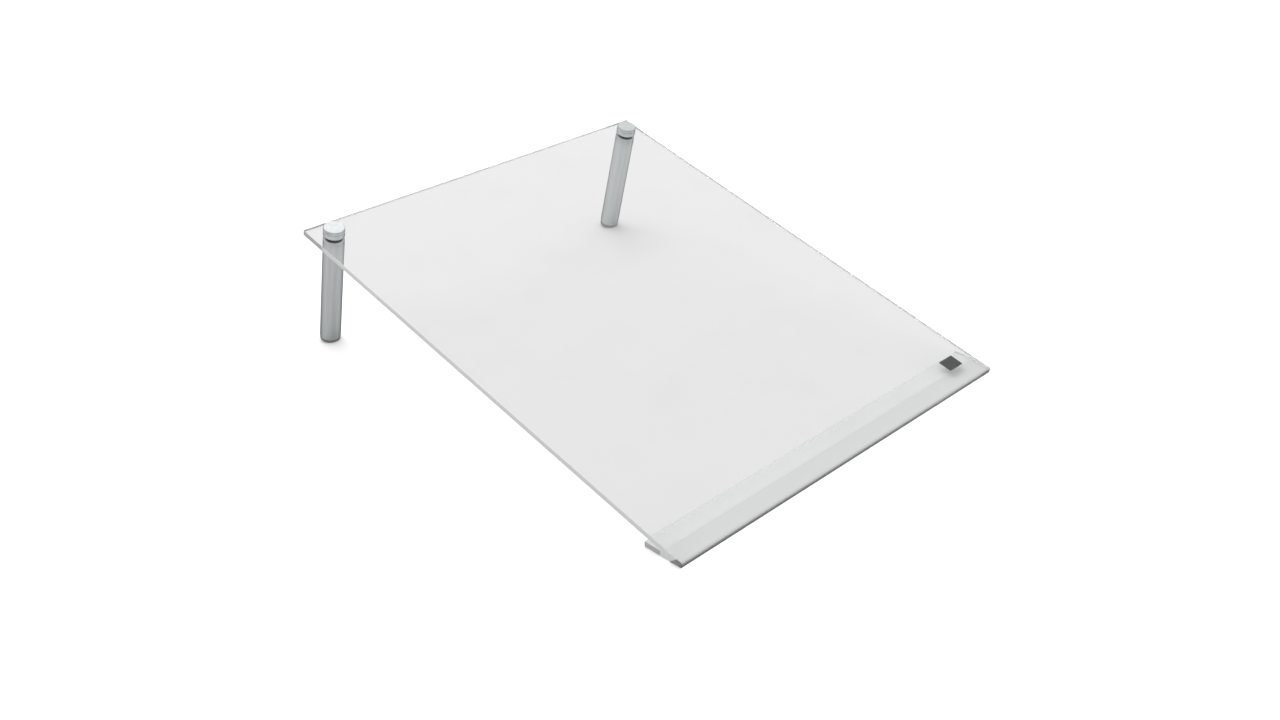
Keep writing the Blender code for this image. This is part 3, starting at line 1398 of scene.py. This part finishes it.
    def _stud_mesh(self, stud: Span) -> bpy.types.Mesh:
        """Makes the stud with its thread, cut as a helix in rings of points.

        Args:
            stud: The stud's reach.

        Returns:
            The mesh, with its base at zero height.
        """
        length = stud.high - stud.low
        rows = round(length / self.thread_pitch * self.thread_rows)
        work = bmesh.new()
        rings = []
        for row in range(rows + 1):
            height = length * row / rows
            limit = stud.radius - self.stud_chamfer + min(height, length - height)
            ring = []
            for step in range(self.thread_sides):
                turn = step / self.thread_sides
                phase = (height / self.thread_pitch - turn) % 1
                wave = 1 - abs(2 * phase - 1)
                flank = min(max(self.thread_steepness * wave - self.thread_crest, 0), 1)
                radius = min(stud.radius - self.thread_depth * flank, limit)
                angle = 2 * math.pi * turn
                ring.append(work.verts.new((radius * math.cos(angle), radius * math.sin(angle), height)))
            rings.append(ring)
        for lower, upper in zip(rings, rings[1:]):
            for step in range(self.thread_sides):
                following = (step + 1) % self.thread_sides
                work.faces.new((lower[step], lower[following], upper[following], upper[step]))
        work.faces.new(list(reversed(rings[0])))
        work.faces.new(rings[-1])
        return finished_mesh(self._node("stud_look"), work)

    def _washer_mesh(self, axis: LegAxis, part: str, stud: Span) -> bpy.types.Mesh:
        """Makes a flat washer with eased edges, shifted by the seating to meet what it lies against.

        Args:
            axis: The stand-off's axis.
            part: The washer's name, without its side.
            stud: The stud's reach.

        Returns:
            The mesh, with the base of the solid at zero height.
        """
        span = axis.span(self._node(part))
        bore = stud.radius + self.clearance
        rim = span.radius - self.washer_squeeze
        base = self.seating if part == "seat_washer" else -self.seating
        top = span.high - span.low + base
        corners = [
            Corner(bore, top, self.washer_rounding),
            Corner(rim, top, self.washer_rounding),
            Corner(rim, base, self.washer_rounding),
            Corner(bore, base, self.washer_rounding),
        ]
        return turned_mesh(self._node(f"{part}_look"), corners, ring=True)

    def _pad_mesh(self, axis: LegAxis) -> bpy.types.Mesh:
        """Makes the rubber pad, pressed flat where it meets the desk.

        Args:
            axis: The stand-off's axis.

        Returns:
            The mesh, with the base of the solid at zero height.
        """
        node = self._node("end_pad")
        span = axis.span(node)
        corners = [
            Corner(0, span.high - span.low),
            Corner(span.radius, span.high - span.low, self.washer_rounding),
            Corner(span.radius, 0, self.pad_rounding),
            Corner(0, 0),
        ]
        work = bmesh.new()
        work.from_mesh(turned_mesh(node + "_blank", corners))
        to_pad = axis.at(span.low).inverted()
        desk = to_pad @ Vector((0, 0, 0))
        upward = to_pad.to_3x3() @ Vector((0, 0, 1))
        rim = cut_across(work, desk, upward, clear=True)
        bmesh.ops.contextual_create(work, geom=rim)
        return finished_mesh(node + "_look", work)


@dataclass(frozen=True)
class Softbox:
    """A square lamp that faces the board."""

    name: str
    place: tuple[float, float, float]
    size: float
    watts: float

    def build(self) -> None:
        """Hangs the lamp where it isn't seen through the clear sheet."""
        data = bpy.data.lights.new(self.name, "AREA")
        data.shape = "SQUARE"
        data.size = self.size
        data.energy = self.watts
        lamp = bpy.data.objects.new(self.name, data)
        bpy.context.scene.collection.objects.link(lamp)
        lamp.visible_transmission = False
        lamp.location = self.place
        lamp.rotation_euler = Vector(self.place).to_track_quat("Z", "Y").to_euler()


@dataclass
class Studio:
    """The pale floor, the soft light and the camera.

    One broad, faint softbox hangs to the right, which the sheet and the caps mirror, and one overhead.
    """

    azimuth: float = -44.702
    elevation: float = 29.489
    roll: float = -0.243
    distance: float = 0.78628
    target: tuple[float, float, float] = (-0.01103, -0.00973, 0.00635)
    lens: float = 39.387
    sensor_width: float = 36.0
    floor_size: float = 12.0
    floor_colour: float = 0.58
    floor_seen: float = 1.35
    floor_through: float = 0.93
    floor_mirrored: float = 0.72
    floor_drop: float = 0.05 * MILLIMETRE
    sky: float = 0.68
    sky_through: float = 0.75
    horizon_mirrored: float = 0.5
    zenith_mirrored: float = 0.8
    zenith_height: float = 0.75
    lamps: tuple[Softbox, ...] = (
        Softbox("right_softbox", (1.9, 1.2, 2.4), 3.2, 10.0),
        Softbox("top_softbox", (0.15, 0.85, 2.5), 1.6, 15.0),
    )

    def build(self) -> None:
        """Builds the studio."""
        self._camera()
        self._floor()
        self._world()
        for lamp in self.lamps:
            lamp.build()

    def _camera(self) -> None:
        """The camera at the photograph's place."""
        azimuth, elevation = math.radians(self.azimuth), math.radians(self.elevation)
        level = math.cos(elevation)
        back = Vector((math.sin(azimuth) * level, -math.cos(azimuth) * level, math.sin(elevation)))
        data = bpy.data.cameras.new("camera")
        data.lens = self.lens
        data.sensor_width = self.sensor_width
        camera = bpy.data.objects.new("camera", data)
        bpy.context.scene.collection.objects.link(camera)
        aim = (-back).to_track_quat("-Z", "Y").to_matrix().to_4x4()
        place = Matrix.Translation(Vector(self.target) + back * self.distance)
        camera.matrix_world = place @ aim @ Matrix.Rotation(math.radians(self.roll), 4, "Z")
        bpy.context.scene.camera = camera

    def _floor(self) -> None:
        """The desk, plain to the lamps and white to the viewer, with the board's shadow kept."""
        work = bmesh.new()
        bmesh.ops.create_grid(work, x_segments=1, y_segments=1, size=self.floor_size / 2)
        floor = bpy.data.objects.new("floor", finished_mesh("floor", work, smooth=False))
        bpy.context.scene.collection.objects.link(floor)
        floor.location.z = -self.floor_drop
        material = bpy.data.materials.new("floor_paper")
        material.use_nodes = True
        graph = Graph(material.node_tree)
        levels = {
            Ray.GLOSSY: self.floor_mirrored,
            Ray.TRANSMISSION: self.floor_through,
            Ray.CAMERA: self.floor_seen,
        }
        level = graph.by_ray(self.floor_colour, levels)
        shader = graph.node("ShaderNodeBsdfDiffuse", None, {"Color": level})
        graph.node("ShaderNodeOutputMaterial", None, {"Surface": shader})
        floor.data.materials.append(material)

    def _world(self) -> None:
        """A pale sky, white where it is seen, and graded from horizon to zenith where it is mirrored."""
        world = bpy.data.worlds.new("studio")
        bpy.context.scene.world = world
        world.use_nodes = True
        graph = Graph(world.node_tree)
        direction = graph.node("ShaderNodeTexCoord", output="Generated")
        height = graph.component(direction, "Z").ramp(0.0, self.zenith_height)
        graded = self.horizon_mirrored + (self.zenith_mirrored - self.horizon_mirrored) * height
        levels = {Ray.GLOSSY: graded, Ray.TRANSMISSION: self.sky_through, Ray.CAMERA: 1.0}
        strength = graph.by_ray(self.sky, levels)
        shader = graph.node("ShaderNodeBackground", None, {"Color": grey(1.0), "Strength": strength})
        graph.node("ShaderNodeOutputWorld", None, {"Surface": shader})


def allow_long_paths() -> None:
    """Lets light bounce often enough to pass along inside the clear sheet and out of its edges."""
    cycles = bpy.context.scene.cycles
    cycles.max_bounces = MOST_BOUNCES
    cycles.glossy_bounces = CLEAR_BOUNCES
    cycles.transmission_bounces = CLEAR_BOUNCES


def main() -> None:
    """Builds the board's looks and the studio round it."""
    logging.basicConfig(level=logging.INFO, format="%(name)s: %(message)s")
    bpy.context.scene.view_settings.view_transform = "Standard"
    allow_long_paths()
    slope = SlopeAxes()
    foot = BondedFoot()
    foot.build(slope)
    WritingSheet().build(slope, foot.bond_end(slope))
    for side in Side:
        StandOff(side).build(slope)
    Studio().build()


if __name__ == "__main__":
    main()
